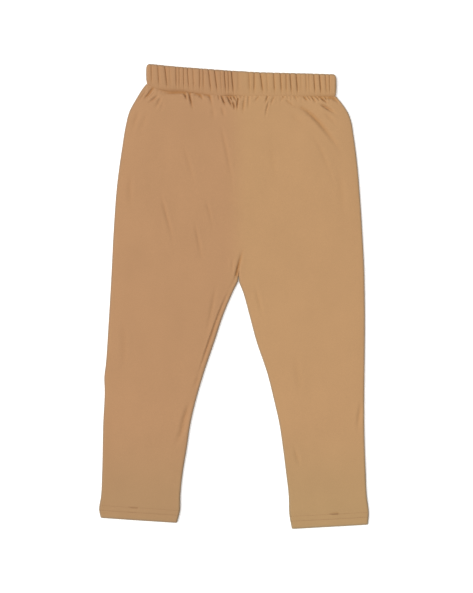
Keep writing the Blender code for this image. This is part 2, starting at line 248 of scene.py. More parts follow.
# Valleys between the gathers of the casing's front
RIBS = table(
    Rib, (-95.1, -94.6, 0.8), (-87.4, -85.7, 0.9), (-79.5, -76, 1.3), (-73.6, -72.8, 0.5),
    (-66.5, -66.1, 1), (-62.8, -62.6, 0.8), (-57.7, -57.5, 0.9), (-53.6, -51.3, 1), (-47.2, -45.7, 0.7),
    (-39.2, -39, 1), (-35.4, -35, 0.9), (-29.4, -25.9, 1.2), (-22.4, -18.4, 1.3), (-15.4, -13.8, 0.6),
    (-11, -9.2, 1.4), (-6.6, -5.4, 1), (-2.9, -0.3, 1.7), (4.8, 5.2, 0.5), (17.3, 18.4, 0.8),
    (23.5, 23, 1.2), (30.2, 34, 1.5), (37.7, 39, 0.6), (45.7, 47, 1.1), (53.4, 55, 1.3), (60, 60.4, 1),
    (64.4, 66.4, 1.4), (71.5, 73.6, 1.6), (77, 77.6, 0.5), (82.8, 83.4, 0.7), (86.2, 86.8, 0.5),
    (91.7, 93.6, 1.3), (98.3, 100.4, 1.6), (105, 106.8, 1), (109.8, 110.2, 0.9),
)

# Section of the casing's wall: share of the way up, share of the wall's thickness, share of a rib
CASING_SECTION = table(
    Section, (0.05, 0, 0), (0.01, 0.05, 0), (0, 0.3, 0), (0, 0.5, 0), (0.014, 0.545, 0.03),
    (0.035, 0.6, 0.06), (0.06, 0.655, 0.1), (0.09, 0.715, 0.15), (0.13, 0.785, 0.24), (0.18, 0.86, 0.38),
    (0.25, 0.93, 0.6), (0.3, 0.955, 0.8), (0.36, 0.975, 0.95), (0.43, 0.99, 1), (0.5, 1, 1), (0.58, 1, 1),
    (0.66, 1, 1), (0.74, 1, 1), (0.82, 0.995, 1), (0.88, 0.97, 0.95), (0.92, 0.93, 0.9),
    (0.948, 0.87, 0.8), (0.97, 0.78, 0.65), (0.986, 0.66, 0.5), (0.996, 0.52, 0.35), (1, 0.38, 0.2),
    (0.99, 0.2, 0.1), (0.96, 0.06, 0), (0.91, 0, 0), (0.5, 0, 0),
)

# Gathers and pulls that start deep at a seam: start, middle and end of each trough, its depth and
# its half width
GATHERS = table(
    Crease, (-93.6, 239.2, -98.6, 232, -106, 224.7, 1.3, 1.6),
    (-56.5, 234, -69, 233.8, -85, 232.6, 1.1, 1.25), (-57.5, 234.6, -55.2, 229.6, -53.1, 223.7, 1.6, 1.3),
    (-51.2, 235.2, -49.9, 226.4, -46, 211.5, 1.7, 1.3), (-43, 233.4, -38.3, 230.4, -35, 223.6, 1.5, 1.7),
    (-33, 232.3, -27.6, 228.9, -25, 215, 1.2, 1.8), (-14, 230.2, -11.4, 223.3, -8.4, 219, 1.5, 1.1),
    (-7.2, 231, -4.6, 223.4, 0.5, 215.5, 1.7, 1.1), (4.9, 227.4, 3.9, 220.5, 3.6, 210.5, 1.4, 1.1),
    (38.6, 230, 37.2, 225.6, 35.6, 221, 1, 1.1), (78, 216.7, 98.6, 199, 123.9, 165.2, 0.34, 2.1),
    (80.5, 229.4, 83, 226.5, 86, 223.5, 1, 1.2), (89.7, 229.4, 92, 226, 95, 222, 1, 1.2),
    (98.6, 229.6, 103.4, 225.4, 108.2, 221.2, 1.6, 1.1), (109, 228.4, 115, 227, 121.6, 220.6, 1.5, 1.4),
    (-17.9, 230.2, -17, 227.4, -16.2, 224, 0.7, 1), (-4.6, 231, -2.9, 227.2, -1, 222.4, 1.7, 0.9),
    (-1.2, 222.2, 0.4, 218.6, 0.7, 212.8, 1.4, 1.2), (-0.8, 232, 1.3, 227.4, 3.4, 221.6, 1.4, 0.9),
    (11.2, 224.5, 10.8, 217.5, 9.8, 209, 0.65, 1.5), (17, 228.5, 16.6, 221, 15.8, 214, 0.5, 1.3),
    (28.2, 229.5, 25.5, 226, 22, 222, 0.6, 1.2), (46, 228.5, 43.6, 224, 41.8, 217.5, 0.7, 1.3),
    (57, 229.5, 55, 226.5, 53.4, 223, 0.5, 1.3), (60.5, 225.5, 64.5, 222, 69.5, 218, 0.5, 1.4),
    (71, 229.3, 72, 226, 74, 222.5, 0.5, 1.2), (85.2, 229.6, 87.2, 227, 89.8, 224.4, 0.8, 0.9),
    (94.3, 229.6, 96.6, 227.2, 99.6, 224.6, 1.1, 0.9), (103.6, 229.8, 105.6, 227.8, 108, 225.8, 1.1, 0.9),
    (2.8, 25, 5.8, 38, 12.5, 59, 1.3, 1.7), (-111, -243, -115.8, -242.8, -123, -242.5, 0.5, 0.9),
    (-154, -249.2, -148, -249.1, -139, -249.6, 0.35, 0.8),
    (119.8, -248.5, 115, -248.8, 107.5, -249.1, 0.42, 0.9),
)

# Creases of the open cloth, which fade in and out, in the same terms
CREASES = table(
    Crease, (-85.5, 232.4, -93, 226, -101, 220.4, 1.3, 1.6),
    (-83.9, 231, -86.5, 222.5, -93, 213.5, 0.9, 2.2), (41.2, 225.4, 38, 216, 36, 203, 1.2, 1.2),
    (65, 220, 74, 217.4, 84, 215.4, 0.6, 2.2), (72, 219, 97.8, 199.9, 131.6, 153.1, 1.5, 3),
    (78, 219, 101, 203.5, 127, 166, 0.6, 5), (98.6, 221.2, 108, 216.2, 121, 206, 1.4, 2.5),
    (-86, 120, -76.5, 90, -67.5, 52, 0.8, 1.9), (-46, 90, -40, 60, -34, 34, 0.6, 1.9),
    (-34, 114, -28, 96, -23, 76, 0.5, 1.9), (-4.5, 9, -20.8, -30, -42, -92, 1.35, 1.5),
    (-40, -92.5, -43, -98, -47, -104, 0.9, 2.4), (-50.6, -119, -57, -141, -65.5, -161.5, 1.2, 3),
    (-54, -142, -61, -158, -70, -173, 1, 2.6), (68, -173, 73, -185, 78, -196, 0.8, 2.6),
    (148, -119, 144, -138, 141.5, -157, 0.9, 2.6), (-24.3, 218, -23.6, 210, -22.4, 200, 0.5, 2.6),
    (-13.8, 219.5, -12, 211, -8.2, 204, 0.7, 2), (-16.5, 200, -7.5, 163, 1.5, 110, 0.55, 2.2),
    (101, 213, 111, 204.5, 121, 193, 0.7, 2.6), (62, 212, 74, 203, 84, 190, 0.35, 4),
    (86, 192, 105, 157, 122, 104, 0.35, 2.6), (97, 222, 107, 216.4, 121, 208, 1.2, 1.3),
    (-99.5, 236.5, -105.5, 230, -110.5, 222, 0.7, 1.2), (-90, 235.5, -96.5, 229.6, -103.5, 222.6, 0.7, 1),
    (-80, 228.5, -82.5, 219, -86, 209, 0.4, 2), (-108, 216, -114, 200, -119, 182, 0.5, 3),
    (-98, 214, -104, 200, -110, 184, 0.35, 3), (-118.5, 144, -119.5, 120, -118, 96, 0.45, 3.2),
    (-60, 178, -51, 150, -41.5, 118, 0.4, 2.2), (-4, 109.4, 1, 108.4, 6, 108.2, 0.35, 1.6),
    (-1.2, 44, -1.6, 36, -1.4, 26, 0.5, 1.6), (5.4, 37, 1.5, 22, -6.5, 8, 1, 1.1),
    (-17.5, -24, -29.6, -56, -43.5, -98, 1.2, 1.3), (-21, 18, -25.6, -15.3, -33, -47.6, 0.6, 2.2),
    (25, 12, 28.6, -5.1, 34.5, -28, 0.5, 2.4), (40, 178, 46, 150, 49, 118, 0.3, 5),
    (120, 150, 124, 118, 125, 84, 0.35, 4.5), (70, -60, 74, -92, 80, -120, 0.3, 4.5),
    (-128, -20, -126, -60, -128, -98, 0.35, 4),
)

# Short dashes of dense stitches that fasten the ends of the hems' rows
TACKS = {
    "leg_right": table(Tack, (-115.6, 14.9, 9.5), (-115, 14, 7), (-118, 8.9, 9)),
    "leg_left": table(Tack, (115.2, 14.9, 9), (116, 14, 6)),
}

# Long soft folds of cloth that has been worn and washed
SWEEPS = table(
    Sweep, (0.10, 47, 0.4, 0.9), (-0.16, 31, 2.1, 0.7), (0.22, 22, 4.4, 0.45), (-0.45, 73, 1.2, 0.8),
    (1.90, 120, 5.1, 0.6), (-0.05, 15, 3.3, 0.25),
)


def smoothstep(t):
    t = np.clip(t, 0.0, 1.0)
    return t * t * (3 - 2 * t)


def bump(distance, reach, power=2.0):
    """Bell-shaped ridge, 1 at no distance, and the sharper the lower its power."""
    return np.exp(-(abs(distance / reach) ** power))


def smooth_table(rows, at):
    """Value of a two-column table at a place, on a smooth curve through its rows."""
    knots, values = np.array(rows, float).T
    slopes = np.gradient(values, knots)
    at = np.clip(np.asarray(at, float), knots[0], knots[-1])
    k = np.clip(np.searchsorted(knots, at, side="right") - 1, 0, len(knots) - 2)
    span = knots[k + 1] - knots[k]
    t = (at - knots[k]) / span
    start = (2 * t**3 - 3 * t**2 + 1) * values[k] + (t**3 - 2 * t**2 + t) * span * slopes[k]
    end = (3 * t**2 - 2 * t**3) * values[k + 1] + (t**3 - t**2) * span * slopes[k + 1]
    return start + end


def seam_line(x):
    """Lower seam of the casing."""
    return smooth_table([(row.x, row.lower) for row in WAISTBAND], x)


def top_line(x):
    """Top fold of the casing, rounded off towards both ends."""
    inward = np.minimum(x - WAISTBAND[0].x, WAISTBAND[-1].x - x) / CASING_CORNER
    drop = CASING_CORNER * (1 - np.sqrt(1 - (1 - np.clip(inward, 0.0, 1.0)) ** 2))
    return smooth_table([(row.x, row.upper) for row in WAISTBAND], x) - drop


def curve_through(start, middle, end, t):
    """Quadratic curve that passes through three points."""
    return (1 - t) * (1 - 2 * t) * start + 4 * t * (1 - t) * middle + t * (2 * t - 1) * end


def crease_height(creases, x, y, at_seam):
    """Height that creases take from the front, or give it along their lips."""
    height = np.zeros(x.shape)
    t = np.linspace(0.0, 1.0, CREASE_STEPS + 1)
    for crease in creases:
        path_x = curve_through(crease.x0, crease.xm, crease.x1, t)
        path_y = curve_through(crease.y0, crease.ym, crease.y1, t)
        reach = 4 * LIP_REACH * crease.width
        near_box = (
            (x > path_x.min() - reach) & (x < path_x.max() + reach)
            & (y > path_y.min() - reach) & (y < path_y.max() + reach)
        )
        px, py = x[near_box], y[near_box]
        near = np.full(px.shape, np.inf)
        along = np.zeros(px.shape)
        for k in range(CREASE_STEPS):
            dx = path_x[k + 1] - path_x[k]
            dy = path_y[k + 1] - path_y[k]
            share = np.clip(((px - path_x[k]) * dx + (py - path_y[k]) * dy) / (dx * dx + dy * dy), 0, 1)
            away = np.hypot(px - path_x[k] - share * dx, py - path_y[k] - share * dy)
            along = np.where(away < near, (k + share) / CREASE_STEPS, along)
            near = np.minimum(near, away)
        fade_in = 1.0 if at_seam else smoothstep(along / FADE_IN)
        power = GATHER_POWER if at_seam else 2.0
        trough = bump(near, crease.width, power) - LIP * bump(near, LIP_REACH * crease.width)
        height[near_box] -= crease.depth * fade_in * smoothstep((1 - along) / FADE_OUT) * trough
    return height


def sweep_height(x, y):
    """Faint long folds that run mostly down the garment, from -1 to 1."""
    height = np.zeros(x.shape)
    for sweep in SWEEPS:
        height += sweep.share * np.sin(2 * math.pi * (x + sweep.lean * y) / sweep.wavelength + sweep.phase)
    return height / sum(sweep.share for sweep in SWEEPS)


def uneven(x, wave):
    """A smooth wave across the garment whose peaks differ in height and spacing, from 0 to 1."""
    pitch, seed = wave
    drift = 0.9 * np.sin(x / (2.3 * pitch) + seed) + 0.6 * np.sin(x / (1.3 * pitch) + 2 * seed)
    swell = 0.65 + 0.35 * np.sin(x / (1.9 * pitch) + 3 * seed)
    return (0.5 + 0.5 * np.cos(2 * math.pi * x / pitch + drift)) * swell


class Panel:
    """One leg panel: a grid of points round and along the leg, on either skin of the cloth."""

    def __init__(self, cloth, fold, inseam, side):
        self.cloth = cloth
        self.wall = cloth.wall / MM
        self.hem_depth = cloth.hem_depth / MM
        upper_line = self.hem_depth - STITCH_DROP
        self.stitch_lines = [upper_line, upper_line - cloth.needle_gap / MM]
        self.fold = fold
        self.inseam = inseam
        self.inset = side * SEAM_CLEARANCE / 2
        self.inner_hem, self.outer_hem = inseam[0].y, fold[0].y
        self.inner_top, self.outer_top = CENTRE_SEAM[-1].y, fold[-1].y
        self.length = self.inner_top - self.inner_hem
        self.crotch = CROTCH_Y - self.inner_hem

    def row_distances(self):
        """Distances up from the hem of the rows, closest at the hem, the crotch and the waist."""
        ends_and_steps = (
            (self.hem_depth + 3.0, 1.0), (self.crotch, 4.6), (self.crotch + CROTCH_MOUTH, 1.5),
            (self.length - 60.0, 4.0), (self.length - 30.0, 1.6), (self.length, 0.75),
        )
        rows = list(HEM_EDGE_ROWS)
        for end, step in ends_and_steps:
            count = math.ceil((end - rows[-1]) / step)
            rows += list(np.linspace(rows[-1], end, count + 1)[1:])
        return np.array(rows)

    def grid(self, rows, skin):
        """The given rows of the cloth, at a depth of skin under the outside."""
        distance = rows[:, None]
        share = distance / self.length
        y_in = self.inner_hem + self.length * share
        y_out = self.outer_hem + (self.outer_top - self.outer_hem) * share
        parted = distance > self.crotch
        x_in = np.where(parted, smooth_table(CENTRE_SEAM, y_in), smooth_table(self.inseam, y_in))
        x_in = x_in + self.inset
        x_out = smooth_table(self.fold, y_out)
        width = abs(x_out - x_in)
        opened = smoothstep((distance - self.crotch) / CROTCH_MOUTH)

        steps = self.cloth.fold_steps
        turn = np.linspace(0.0, math.pi / 2, steps + 1)[None, :-1]
        closed_edge = FOLD_REACH - (FOLD_REACH - skin) * np.cos(turn)
        edge = closed_edge + (FOLD_REACH * turn / (math.pi / 2) - closed_edge) * opened
        edge_lift = np.sin(turn) + (1 - np.sin(turn)) * opened
        front = FOLD_REACH + (width - 2 * FOLD_REACH) * np.linspace(0, 1, self.cloth.front_columns)
        back = FOLD_REACH + (width - 2 * FOLD_REACH) * np.linspace(1, 0, self.cloth.back_columns)
        round_fold = np.linspace(math.pi / 2, -math.pi / 2, 2 * steps + 1)[None, 1:-1]
        outer = width - FOLD_REACH + (FOLD_REACH - skin) * np.cos(round_fold)
        across = np.concatenate([edge, front, outer, back, edge[:, ::-1]], axis=1)
        lift = np.concatenate([
            edge_lift, np.ones(front.shape), np.sin(round_fold) * np.ones(width.shape),
            -np.ones(back.shape), -edge_lift[:, ::-1],
        ], axis=1)

        u = across / width
        x = x_in + (x_out - x_in) * u
        hem_y = self.inner_hem + (self.outer_hem - self.inner_hem) * u
        top_x = self.inset + (self.fold[-1].x - self.inset) * u
        y = hem_y + (seam_line(top_x) - SEAM_CLEARANCE - hem_y) * share
        middle = FOLD_HEIGHT / 2
        hem = self.hem_relief(x, distance)
        below = np.clip(seam_line(x) - y, 0.0, None)
        inward = u * width
        front_relief, front_painted_shade = self.front_folds(x, y, below, inward, opened)
        back_relief = self.back_folds(x, y, below, inward, opened)
        top = self.crown(y, inward, width, opened) + front_relief + hem - skin
        bottom = back_relief - np.minimum(hem, 0.0) + skin
        gap = LAYER_GAP + np.clip(self.wall - skin, 0.0, None)
        held = WAIST_HOLD.height * bump(below, WAIST_HOLD.reach)
        top = np.maximum(top, middle + gap + held)
        bottom = np.minimum(bottom, middle - gap)
        z = middle + np.where(lift > 0, top - middle, middle - bottom) * lift
        from_fold = np.where(lift >= 0, across - width, width - across)
        # Painted shade: darker deep in the front's gathers and creases, under the back where it lifts off
        # the floor, and along the edges
        hollow = np.where(lift > 0, front_painted_shade, back_relief) / PAINTED_SHADE_DEPTH
        from_edge = np.minimum(np.minimum(across + NO_EDGE_SHADE * opened, width - across), distance)
        return Skin(
            np.stack([x, y, z], axis=2),
            np.stack([from_fold, distance + 0 * x], axis=2) * MM,
            np.clip(hollow, 0.0, 1.0) * abs(lift),
            bump(from_edge, EDGE_SHADE_REACH),
        )

    def crown(self, y, inward, width, opened):
        """Height of the plain front, which rises from both folds to the loft."""
        from_outer = np.clip(width - inward - FOLD_REACH, 0.0, None)
        from_inner = np.clip(inward - FOLD_REACH, 0.0, None) + opened * 4 * LOFT_REACH
        rise = 1 - np.exp(-np.minimum(from_outer, from_inner) / LOFT_REACH)
        return FOLD_HEIGHT + (smooth_table(LOFTS, y) - FOLD_HEIGHT) * rise

    def front_folds(self, x, y, below, inward, opened):
        """Height that gathers, creases and soft folds give the front, and the depth that sets its painted
        shade.
        """
        gathers = self.cloth.gathers * crease_height(GATHERS, x, y, True) + self.waist_puckers(x, below)
        creases = self.cloth.relief * crease_height(CREASES, x, y, False)
        dent = CENTRE_DENT.height * opened * bump(inward, CENTRE_DENT.reach)
        height = gathers + creases + SWEEP_HEIGHT * sweep_height(x, y) - dent
        # The second value is the depth of painted shade: full in gathers, a share of it in open creases
        return height, -gathers - OPEN_CREASE_SHADE * creases

    def back_folds(self, x, y, below, inward, opened):
        """Height by which such folds lift the back off the surface it lies on."""
        reach = 16.0 + 8.0 * uneven(x, BACK_REACH_WAVE)
        gathers = BACK_GATHER_HEIGHT * uneven(x, BACK_WAVE) * smoothstep(1 - below / reach)
        waist_ridge = WAIST_RIDGE.height * bump(below, WAIST_RIDGE.reach)
        centre_ridge = CENTRE_RIDGE.height * opened * bump(inward, CENTRE_RIDGE.reach)
        sweeps = np.clip(sweep_height(x + BACK_SWEEP_SHIFT, y) - BACK_SWEEP_FROM, 0.0, None)
        return gathers + waist_ridge + centre_ridge + BACK_SWEEP_HEIGHT * sweeps

    def waist_puckers(self, x, below):
        """Dip into the casing's seam, the puff below it and the small gathers between the creases."""
        dip = smooth_table(SEAM_DIPS, x) * bump(below, WAIST_DIP_REACH, WAIST_DIP_POWER)
        puff = PUFF.height * (0.5 + 0.7 * uneven(x, PUFF_WAVE)) * bump(below - PUFF_DROP, PUFF.reach)
        reach = 7.0 + 12.0 * uneven(x, FINE_REACH_WAVE)
        fine = smooth_table(FINE_GATHERS, x) * uneven(x, FINE_WAVE) * smoothstep(1 - below / reach)
        return puff - dip - fine

    def hem_relief(self, x, distance):
        """Two sunk rows of stitches, with the turned-up cloth slightly roped between them."""
        sunk = sum(bump(distance - line, STITCH_DENT.reach) for line in self.stitch_lines)
        between = bump(distance - sum(self.stitch_lines) / 2, HEM_SWELL.reach)
        ropes = np.sin(2 * math.pi * (x + ROPE_LEAN * distance) / ROPE_PITCH) * between
        return HEM_SWELL.height * between + ROPE_HEIGHT * ropes - STITCH_DENT.height * sunk

    def skins(self):
        """Both skins of the cloth, which meet in a round edge at the hem."""
        rows = self.row_distances()
        doubled = self.wall * (1 + HEM_BULK * smoothstep(self.hem_depth - rows[:, None] + 0.5))
        near_edge = np.clip(1 - rows[:, None] / (doubled / 2), 0.0, 1.0)
        rounded = doubled / 2 * (1 - np.sqrt(1 - near_edge**2))
        return rows, self.grid(rows, rounded), self.grid(rows, doubled - rounded)

    def mesh(self):
        """The panel as one closed shell."""
        rows, outside, inside = self.skins()
        is_open = rows > self.crotch + 0.001
        columns = outside.hollows.shape[1]
        used, skins, count = [], [], 0
        for skin in (outside, inside):
            ids = []
            for r, parted in enumerate(is_open):
                if r == 0 and skins:
                    ids.append(skins[0][0])
                    continue
                kept = columns if parted else columns - 1
                own = count + np.arange(columns)
                own[kept:] = own[0]
                used.append([layer[r, :kept] for layer in skin])
                count += kept
                ids.append(own)
            skins.append(np.array(ids))
        outer, inner = skins
        faces = [*quads(outer), *quads(inner[:, ::-1])]
        faces += quads(np.stack([outer[-1], inner[-1]]))
        first_open = int(np.argmax(is_open)) - 1
        faces += quads(np.stack([inner[first_open:, 0], outer[first_open:, 0]], axis=1))
        faces += quads(np.stack([outer[first_open:, -1], inner[first_open:, -1]], axis=1))
        return Skin(*(np.concatenate(layer) for layer in zip(*used))), faces

    def loop(self, distance, proud):
        """Closed line round the leg at a distance up from the hem, just outside the cloth."""
        return self.grid(np.array([distance]), -proud).points[0, :-1]

    def dash(self, tack, proud):
        """Stretch of such a line on the front, centred where a tack is."""
        line = self.loop(tack.y, proud)
        front = line[: self.cloth.front_columns]
        return front[abs(front[:, 0] - tack.x) < tack.length / 2]


def quads(ids):
    """Faces between the rows and columns of a grid of vertex numbers."""
    corners = np.stack([ids[:-1, :-1], ids[:-1, 1:], ids[1:, 1:], ids[1:, :-1]], axis=2)
    return corners.reshape(-1, 4).tolist()


class Casing:
    """The gathered waistband: a ring with a front wall, a back wall and two end folds."""

    def __init__(self, cloth):
        self.cloth = cloth
        self.left, self.right = WAISTBAND[0].x, WAISTBAND[-1].x
        self.middle = WAISTBAND_BOX[1][2] / MM / 2
        self.front = [(rib.x_top, rib.x_bottom, rib.depth) for rib in RIBS]
        both = self.left + self.right
        self.back = [(both - rib.x_bottom, both - rib.x_top, rib.depth) for rib in reversed(RIBS)]

    def columns(self, ribs):
        """Places across one wall from the left: top x, bottom x and hollow of each column."""
        inner_left = self.left + self.middle
        inner_right = self.right - self.middle
        valleys = [(inner_left, inner_left, 0.0), *ribs, (inner_right, inner_right, 0.0)]
        columns = []
        for a, b in zip(valleys, valleys[1:]):
            wide = min(1.0, (b[1] - a[1]) / WIDE_PUFF)
            for k in range(self.cloth.rib_columns):
                t = k / self.cloth.rib_columns
                t = t - RIB_CROWDING * math.sin(4 * math.pi * t) / (4 * math.pi)
                puff = (1 - abs(2 * t - 1) ** (2.4 + 2.0 * wide)) * (0.6 + 0.4 * wide)
                floor = a[2] + (b[2] - a[2]) * t
                columns.append((a[0] + (b[0] - a[0]) * t, a[1] + (b[1] - a[1]) * t, floor * (1 - puff)))
        return [*columns, valleys[-1]]

    def ring(self):
        """Columns right round the casing: top x, bottom x, angle round the fold and hollow."""
        turns = np.linspace(math.pi / 2, -math.pi / 2, END_FOLD_STEPS + 1)[1:-1]
        inner_left, inner_right = self.left + self.middle, self.right - self.middle
        front = [(top, bottom, math.pi / 2, hollow) for top, bottom, hollow in self.columns(self.front)]
        back = [(top, bottom, -math.pi / 2, hollow) for top, bottom, hollow in self.columns(self.back)]
        right_fold = [(inner_right, inner_right, turn, 0.0) for turn in turns]
        left_fold = [(inner_left, inner_left, math.pi - turn, 0.0) for turn in turns[::-1]]
        return np.array([*front, *right_fold, *back[::-1], *left_fold])

    def grid(self, section):
        """The ring's columns at each place of a section."""
        top_x, bottom_x, angle, hollow = self.ring().T[:, :, None]
        hollow = hollow * RIB_DEPTH_SHARE
        up, thick, ribbed = np.array(section).T[:, None, :]
        round_way = np.unwrap(angle[:, 0]) * self.middle
        way = np.cumsum(np.r_[0.0, np.hypot(*np.diff([bottom_x[:, 0], round_way]))])[:, None]
        fine = CASING_FOLD_DEPTH * uneven(way, CASING_WAVE) * smoothstep(up / 0.1)
        fine = fine * smoothstep((0.55 - up) / 0.35) * smoothstep((thick - 0.5) / 0.3)
        near_seam = np.clip(1 - up / SEAM_DIP_REACH, 0.0, None) ** 2
        dip = np.maximum(np.sin(angle), 0.0) * smooth_table(SEAM_DIPS, bottom_x) * near_seam
        sunk = hollow * ribbed + fine + np.minimum(dip, SEAM_DIP_LIMIT)
        wall = CASING_WALL * thick - sunk * smoothstep(thick / 0.5)
        radius = self.middle - CASING_WALL + wall
        x = bottom_x + (top_x - bottom_x) * up + radius * np.cos(angle)
        low, high = seam_line(x), top_line(x) - RIB_NOTCH * hollow * smoothstep((up - 0.8) / 0.2)
        y = low + (high - low) * up
        z = self.middle + radius * np.sin(angle)
        to_end = (self.right - self.left) / 2 - abs(x - (self.left + self.right) / 2)
        from_edge = np.minimum(high - y, to_end)
        # Painted shade: darker in the rib valleys and along the casing's edges
        return Skin(
            np.stack([x, y, z], axis=2),
            np.stack([way * CASING_KNIT_STRETCH + 0 * x, (high - low) * up], axis=2) * MM,
            np.clip(RIB_PAINTED_SHADE * sunk / PAINTED_SHADE_DEPTH, 0.0, 1.0),
            bump(from_edge, EDGE_SHADE_REACH),
        )

    def mesh(self):
        """The casing as one closed ring."""
        skin = self.grid(CASING_SECTION)
        columns, count = skin.hollows.shape
        ids = np.arange(columns * count).reshape(columns, count)
        ids = np.concatenate([ids, ids[:1]])
        ids = np.concatenate([ids, ids[:, :1]], axis=1)
        flat = (layer.reshape(columns * count, *layer.shape[2:]) for layer in skin)
        return Skin(*flat), quads(ids)


def faced_out(points, faces):
    """The faces of a closed shell, all turned outwards."""
    a, b, c, d = points[np.array(faces).T]
    volume = np.einsum("ij,ij->", a, np.cross(b, c)) + np.einsum("ij,ij->", a, np.cross(c, d))
    return faces if volume > 0 else [face[::-1] for face in faces]


def add_object(name, data):
    """A new object in the scene, at the origin."""
    thing = bpy.data.objects.new(name, data)
    bpy.context.scene.collection.objects.link(thing)
    return thing


def add_piece(name, shell, faces, material):
    """A smooth mesh object in metres, with the cloth's own coordinates and its painted shade in hollows and
    along the edges.
    """
    faces = faced_out(shell.points, faces)
    mesh = bpy.data.meshes.new(name)
    mesh.from_pydata((shell.points * MM).tolist(), [], faces)
    layer = mesh.uv_layers.new(name="cloth")
    corner_vertices = np.zeros(len(mesh.loops), dtype=np.int32)
    mesh.loops.foreach_get("vertex_index", corner_vertices)
    layer.data.foreach_set("uv", shell.cloth[corner_vertices].astype(np.float32).ravel())
    # Painted shade in the cloth's hollows and along its edges, as attributes for the material
    for label, values in (("hollow", shell.hollows), ("rim", shell.rims)):
        mesh.attributes.new(label, "FLOAT", "POINT").data.foreach_set("value", values.astype(np.float32))
    mesh.materials.append(material)
    mesh.shade_smooth()
    mesh.set_sharp_from_angle(angle=math.radians(SHARP_ANGLE))
    return add_object(name, mesh)


def set_inputs(tree, node, inputs):
    """Give inputs of a node their values or links."""
    for name, value in inputs.items():
        if isinstance(value, bpy.types.NodeSocket):
            tree.links.new(value, node.inputs[name])
        else:
            node.inputs[name].default_value = value


def add_node(tree, kind, inputs=None, **settings):
    """A node with its settings and with values or links for its inputs."""
    node = tree.nodes.new(kind)
    for name, value in settings.items():
        setattr(node, name, value)
    set_inputs(tree, node, inputs or {})
    return node


def maths(tree, operation, *values):
    """Result of a Math node on sockets or numbers."""
    return add_node(tree, "ShaderNodeMath", dict(enumerate(values)), operation=operation).outputs[0]


def scaled(tree, colour, factor):
    """A colour times a number."""
    inputs = {0: colour, "Scale": factor}
    return add_node(tree, "ShaderNodeVectorMath", inputs, operation="SCALE").outputs[0]


def mixed(tree, factor, a, b, blend_type="MIX"):
    """Result of a Mix node on two colours, whose sockets have numbers of their own."""
    node = tree.nodes.new("ShaderNodeMix")
    node.data_type = "RGBA"
    node.blend_type = blend_type
    for socket, value in ((node.inputs[0], factor), (node.inputs[6], a), (node.inputs[7], b)):
        tree.links.new(value, socket)
    return node.outputs[2]


def new_group(name, kind, inputs, outputs):
    """A node group with the kinds of its named sockets, and its input and output nodes."""
    tree = bpy.data.node_groups.new(name, kind)
    for side, sockets in (("INPUT", inputs), ("OUTPUT", outputs)):
        for label, socket in sockets.items():
            tree.interface.new_socket(label, in_out=side, socket_type="NodeSocket" + socket)
    return tree, tree.nodes.new("NodeGroupInput"), tree.nodes.new("NodeGroupOutput")


def knit_group():
    """Plain jersey: columns of V-shaped stitches, as a height and as a shade."""
    tree, given, result = new_group(
        "Jersey knit", "ShaderNodeTree", {"Cloth": "Vector", "Wale": "Float", "Course": "Float"},
        {"Height": "Float", "Shade": "Float"},
    )
    axes = add_node(tree, "ShaderNodeSeparateXYZ", {0: given.outputs["Cloth"]})
    wales = maths(tree, "DIVIDE", axes.outputs["X"], given.outputs["Wale"])
    courses = maths(tree, "DIVIDE", axes.outputs["Y"], given.outputs["Course"])
    in_wale = maths(tree, "ABSOLUTE", maths(tree, "SUBTRACT", maths(tree, "FRACT", wales), 0.5))
    ridge = maths(tree, "SINE", maths(tree, "MULTIPLY", in_wale, 2 * math.pi))
    leaning = maths(tree, "ADD", courses, maths(tree, "MULTIPLY", in_wale, 1.4))
    yarn = maths(tree, "SINE", maths(tree, "MULTIPLY", leaning, 2 * math.pi))
    yarn = maths(tree, "MULTIPLY_ADD", yarn, 0.5, 0.5)
    height = maths(tree, "MULTIPLY", ridge, maths(tree, "MULTIPLY_ADD", yarn, 0.55, 0.45))
    shade = maths(tree, "MULTIPLY_ADD", height, 0.12, 0.94)
    set_inputs(tree, result, {"Height": height, "Shade": shade})
    return tree


def mottle_group():
    """Uneven dye and fibre: broad clouds and fine flecks that multiply a colour."""
    tree, given, result = new_group(
        "Cloth mottle", "ShaderNodeTree", {"Place": "Vector", "Clouds": "Float", "Flecks": "Float"},
        {"Factor": "Float"},
    )
    place = given.outputs["Place"]
    broad = add_node(tree, "ShaderNodeTexNoise",
                     {"Vector": place, "Scale": 22.0, "Detail": 3.0, "Roughness": 0.55}).outputs["Fac"]
    fine = add_node(tree, "ShaderNodeTexNoise",
                    {"Vector": place, "Scale": 900.0, "Detail": 2.0, "Roughness": 0.6}).outputs["Fac"]
    clouds = maths(tree, "MULTIPLY", maths(tree, "SUBTRACT", broad, 0.5), given.outputs["Clouds"])
    flecks = maths(tree, "MULTIPLY", maths(tree, "SUBTRACT", fine, 0.5), given.outputs["Flecks"])
    clouds = maths(tree, "MULTIPLY_ADD", clouds, 2.0, 1.0)
    factor = maths(tree, "ADD", clouds, maths(tree, "MULTIPLY", flecks, 2.0))
    set_inputs(tree, result, {"Factor": factor})
    return tree


